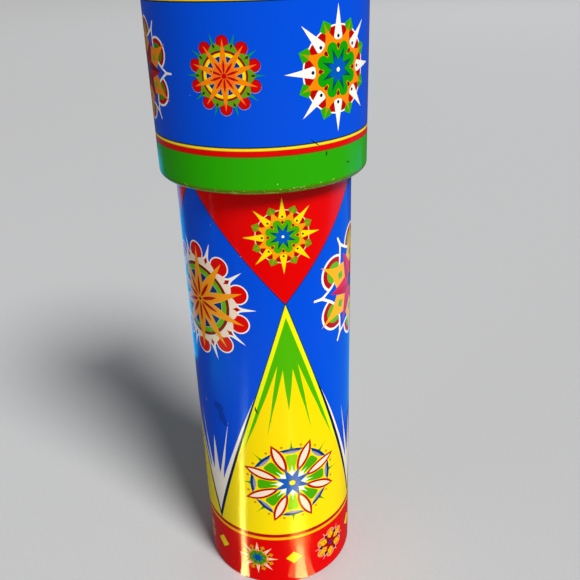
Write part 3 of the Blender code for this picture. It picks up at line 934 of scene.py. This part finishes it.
def new_material(name, **levels):
    """A Principled material with sockets set to levels, its node tree and its shader."""
    surface = bpy.data.materials.new(name)
    surface.use_nodes = True
    shader = surface.node_tree.nodes["Principled BSDF"]
    for socket, value in levels.items():
        shader.inputs[socket.replace("_", " ")].default_value = value
    return surface, surface.node_tree, shader


def add_node(tree, kind, levels, links):
    """A node with its sockets set to levels, or linked from other sockets."""
    node = tree.nodes.new("ShaderNode" + kind)
    for socket, value in levels.items():
        node.inputs[socket].default_value = value
    for socket, source in links.items():
        tree.links.new(source, node.inputs[socket])
    return node


def add_noise(tree, scale, detail, stretch=(1, 1, 1)):
    """A noise texture in the piece's own space."""
    place = add_node(tree, "TexCoord", {}, {}).outputs["Object"]
    mapping = add_node(tree, "Mapping", {"Scale": stretch}, {"Vector": place}).outputs["Vector"]
    levels = {"Scale": scale, "Detail": detail, "Roughness": 0.55}
    return add_node(tree, "TexNoise", levels, {"Vector": mapping}).outputs["Fac"]


def add_range(tree, value, low, high, to_low, to_high):
    levels = {"From Min": low, "From Max": high, "To Min": to_low, "To Max": to_high}
    ranged = add_node(tree, "MapRange", levels, {"Value": value})
    ranged.interpolation_type = "SMOOTHSTEP"
    return ranged.outputs["Result"]


def add_blend(tree, share, first, second):
    """A colour between two sRGB colours."""
    mixed = tree.nodes.new("ShaderNodeMix")
    mixed.data_type = "RGBA"
    mixed.inputs["A"].default_value = rgb(first)
    mixed.inputs["B"].default_value = rgb(second)
    tree.links.new(share, mixed.inputs["Factor"])
    return mixed.outputs["Result"]


def add_bump(tree, height, distance, strength, **below):
    """A bump, on top of the one below it if that is given as Normal."""
    levels = {"Distance": distance, "Strength": strength}
    return add_node(tree, "Bump", levels, {"Height": height, **below}).outputs["Normal"]


def lacquered_ink(name, colour):
    """Printed tin under clear lacquer: smeared by hands, finely scratched, and a little out of true."""
    surface, tree, shader = new_material(
        "ink_" + name, Base_Color=rgb(colour), Specular_IOR_Level=LACQUER_SPECULAR)
    smears = add_noise(tree, SMEARS, 4, (1, 1, 0.45))
    tree.links.new(add_range(tree, smears, 0.3, 0.75, *LACQUER_ROUGHNESS), shader.inputs["Roughness"])
    dents = add_bump(tree, add_noise(tree, DENTS, 2, (1, 1, 0.5)), DENT_DEPTH, 0.5)
    grain = add_bump(tree, add_noise(tree, GRAIN, 2), GRAIN_DEPTH, 0.5, Normal=dents)
    tree.links.new(grain, shader.inputs["Normal"])
    return surface


def roughened(made, grain, roughness, depth, strength):
    """Links one grain to a new material's roughness and relief."""
    surface, tree, shader = made
    tree.links.new(add_range(tree, grain, 0.3, 0.7, *roughness), shader.inputs["Roughness"])
    tree.links.new(add_bump(tree, grain, depth, strength), shader.inputs["Normal"])
    return surface


def grained(name, first, second, scale, roughness, metallic=0, depth=0.00003, stretch=(1, 1, 1), **levels):
    """A material whose colour, roughness and relief all follow one grain."""
    made = new_material(name, Metallic=metallic, **levels)
    tree, shader = made[1:]
    grain = add_noise(tree, scale, 5, stretch)
    blend = add_blend(tree, add_range(tree, grain, 0.3, 0.7, 0, 1), first, second)
    tree.links.new(blend, shader.inputs["Base Color"])
    return roughened(made, grain, roughness, depth, 0.6)


def chipped(name, colour):
    """The dull, slightly rough primer or steel in a chip, or ink that is rubbed down to it."""
    made = new_material("ink_" + name, Base_Color=rgb(colour))
    return roughened(made, add_noise(made[1], 1800, 3), (0.45, 0.8), 0.00006, 0.6)


def clear_plastic(name, colour, roughness, grain_scale, depth, transmission=1):
    """Moulded plastic that lets light through, with a fine uneven surface."""
    made = new_material(name, Base_Color=rgb(colour), Transmission_Weight=transmission, IOR=1.49)
    grain = add_noise(made[1], grain_scale, 3)
    return roughened(made, grain, (roughness * 0.7, roughness * 1.3), depth, 0.5)


def print_materials():
    """A material for every ink, and for the bare tin of the inside."""
    made = {name: (chipped if name in BARE_INKS else lacquered_ink)(name, colour)
            for name, colour in INKS.items()}
    made["tin"] = grained(
        "bare_tin", (150, 148, 142), (176, 172, 160), 420, (0.24, 0.44), 1, stretch=(1, 1, 0.08))
    return made


def frame_surfaces():
    """A surface for each material name in the frame."""
    surfaces = {
        "card": grained("grey_card", (150, 142, 126), (178, 170, 152), 900, (0.75, 0.95), depth=0.00006),
        "mirror_glass": grained(
            "silvered_glass", (205, 212, 214), (222, 228, 230), 60, (0.02, 0.05), 1, 0.000004),
        "packer_foam": grained("grey_foam", (70, 70, 74), (112, 112, 116), 1500, (0.85, 1), depth=0.0003),
        "ring_steel": grained(
            "ring_steel", (150, 152, 156), (182, 184, 188), 500, (0.2, 0.42), 1, stretch=(1, 1, 0.1)),
        "washer_felt": grained(
            "red_felt", (112, 14, 18), (160, 26, 30), 2200, (0.9, 1), depth=0.0003, Sheen_Weight=0.4),
        "spacer_plastic": grained("spacer_plastic", (212, 208, 196), (228, 226, 216), 300, (0.35, 0.5)),
        "clear_window": clear_plastic("clear_window", (244, 250, 248), 0.03, 90, 0.00001),
        "cap_plastic": grained("cap_plastic", (14, 14, 16), (28, 28, 30), 1400, (0.32, 0.5), depth=0.00005),
        "frosted_plastic": clear_plastic("frosted_plastic", (250, 250, 248), 0.34, 1600, 0.00004, 0.5),
    }
    for name, colour in BEAD_COLOURS.items():
        surfaces["bead_" + name] = clear_plastic("bead_" + name, colour, 0.08, 500, 0.00003, 0.8)
    return surfaces


def assign_frame(surfaces):
    """Gives every node of the frame the surface that its material's name asks for."""
    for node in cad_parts.values():
        for held in node.material_slots:
            held.material = surfaces.get(held.material.name.split(".")[0], held.material)


# ---- floor, lights and camera, in tube radii

CAMERA_LENS = 42.5
CAMERA_PLACE = (0, -7.661, 7.7373)
CAMERA_YAW, CAMERA_PITCH, CAMERA_ROLL = 0.0334, 0.4562, 0.0318
FLOOR_HALF = 6
SUN_AZIMUTH, SUN_ELEVATION, SUN_SPREAD, SUN_STRENGTH = 35, 48, 20, 3.85
SUN_COLOUR = (1, 0.97, 0.92)
WORLD_COLOUR, WORLD_STRENGTH = (0.86, 0.92, 1, 1), 0.09
# Each soft light: its name, place, target, width, height, watts and colour
SOFT_LIGHTS = (
    ("fill", (-26, -14, 16), (0, 0, 4), 22, 18, 0.5, (0.9, 0.95, 1)),
    ("rim", (44, 106, 68), (0, 0, 5), 62, 44, 7.5, (0.92, 0.96, 1)),
)
# Lights that only reflections in the tin show. They stand for the bright window and lamp in the photographed
# room and for its blue backdrop, and lie just above the floor, each a little above the last. Each has its
# name, near end, azimuth, length, width, radiance and colour.
STRIP_HEIGHT = 0.005
STRIPS = (
    ("window_near", (-0.52, -0.85), -62, 1, 0.14, 36, (1, 0.97, 0.33)),
    ("window_middle", (-1.4, -1.32), -53, 1.35, 0.17, 60, (1, 0.97, 0.2)),
    ("window_bend", (-2.47, -2.13), -30, 0.75, 0.26, 30, (1, 0.97, 0.4)),
    ("window_far", (-2.86, -2.8), -20, 2.1, 0.32, 9, (0.4, 0.95, 1)),
    ("lamp_glow", (0.26, -0.97), 30, 0.6, 0.42, 8, (1, 0.8, 0.25)),
    ("lamp_near", (0.26, -0.97), 30, 0.6, 0.19, 34, (1, 0.9, 0.32)),
    ("lamp_wide", (0.56, -1.49), 30, 1.5, 0.7, 6, (1, 0.8, 0.1)),
    ("lamp_core", (0.56, -1.49), 30, 1.5, 0.34, 13, (1, 0.9, 0.16)),
    ("lamp_far", (0.4, -1.65), 21, 4, 0.22, 9, (1, 0.9, 0.15)),
    ("floor_panel", (-4.9, -1.9), -75, 3.5, 5, 1.3, (0, 1, 0.6)),
    ("glass_left", (-12.2, -4.4), -73, 4.6, 0.5, 2.5, (0.4, 0.8, 1)),
    ("glass_middle", (-7.3, -9), -41, 2.2, 0.35, 2, (0.4, 0.8, 1)),
    ("screen_right", (4, 0), 122, 20, 12, 0.8, (0, 0.5, 1)),
    ("screen_left", (-3, 4.5), -152, 18, 7, 1.4, (0, 0.5, 1)),
)


def facing(azimuth, tilt):
    """The direction towards an azimuth from +Y, tilted downwards, both in radians."""
    return Vector((sin(azimuth) * cos(tilt), cos(azimuth) * cos(tilt), -sin(tilt)))


def add_camera():
    """The camera stands a little above the drum and looks down at the tube, as a hand-held one does."""
    forward = facing(CAMERA_YAW, CAMERA_PITCH)
    right = forward.cross(Vector((0, 0, 1))).normalized()
    down = forward.cross(right)
    across = right * cos(CAMERA_ROLL) + down * sin(CAMERA_ROLL)
    up = right * sin(CAMERA_ROLL) - down * cos(CAMERA_ROLL)
    data = bpy.data.cameras.new("camera")
    data.lens = CAMERA_LENS
    data.clip_start = 0.01
    camera = put("camera", data)
    turn = Matrix((across, up, -forward)).transposed().to_4x4()
    camera.matrix_world = Matrix.Translation(Vector(CAMERA_PLACE) * UNIT) @ turn
    bpy.context.scene.camera = camera


def add_floor():
    mesh = bpy.data.meshes.new("floor")
    shape = bmesh.new()
    bmesh.ops.create_grid(shape, x_segments=1, y_segments=1, size=FLOOR_HALF)
    shape.to_mesh(mesh)
    shape.free()
    floor = put("floor", mesh)
    mesh.materials.append(grained(
        "pale_floor", (190, 192, 196), (193, 195, 199), 900, (0.6, 0.72), Specular_IOR_Level=0.2))
    floor.visible_glossy = False


def add_area(name, place, target, width, height, watts, colour):
    data = bpy.data.lights.new(name, "AREA")
    data.shape = "RECTANGLE"
    data.size, data.size_y = width * UNIT, height * UNIT
    data.energy = watts
    data.color = colour
    lamp = put(name, data)
    lamp.location = Vector(place) * UNIT
    aim = Vector(target) - Vector(place)
    lamp.rotation_euler = aim.to_track_quat("-Z", "Y").to_euler()
    return lamp


def add_strip(z, name, start, azimuth, length, width, radiance, colour):
    """A light that lies close to the floor and faces up. Only reflections in the tin show it."""
    turn = radians(azimuth)
    middle = Vector(start) + length / 2 * Vector((sin(turn), -cos(turn)))
    watts = radiance * pi * width * length * UNIT ** 2
    lamp = add_area(name, (middle.x, middle.y, z), (middle.x, middle.y, 1), width, length, watts, colour)
    lamp.rotation_euler = (pi, 0, turn)
    lamp.visible_camera = lamp.visible_diffuse = lamp.visible_transmission = False


def add_lights():
    data = bpy.data.lights.new("sun", "SUN")
    data.energy, data.angle, data.color = SUN_STRENGTH, radians(SUN_SPREAD), SUN_COLOUR
    sun = put("sun", data)
    beam = facing(-radians(SUN_AZIMUTH), radians(SUN_ELEVATION))
    sun.rotation_euler = beam.to_track_quat("-Z", "Y").to_euler()
    for light in SOFT_LIGHTS:
        add_area(*light)
    for layer, strip in enumerate(STRIPS):
        add_strip(STRIP_HEIGHT * (layer + 1), *strip)
    world = bpy.data.worlds.new("studio")
    bpy.context.scene.world = world
    world.use_nodes = True
    world.node_tree.nodes["Background"].inputs["Color"].default_value = WORLD_COLOUR
    world.node_tree.nodes["Background"].inputs["Strength"].default_value = WORLD_STRENGTH


bpy.context.scene.view_settings.view_transform = "Standard"
add_camera()
add_floor()
add_lights()
inks = print_materials()
printed_tube(inks)
printed_drum(inks)
surfaces = frame_surfaces()
assign_frame(surfaces)
eyepiece(surfaces["cap_plastic"])
frosted_end(surfaces["frosted_plastic"])
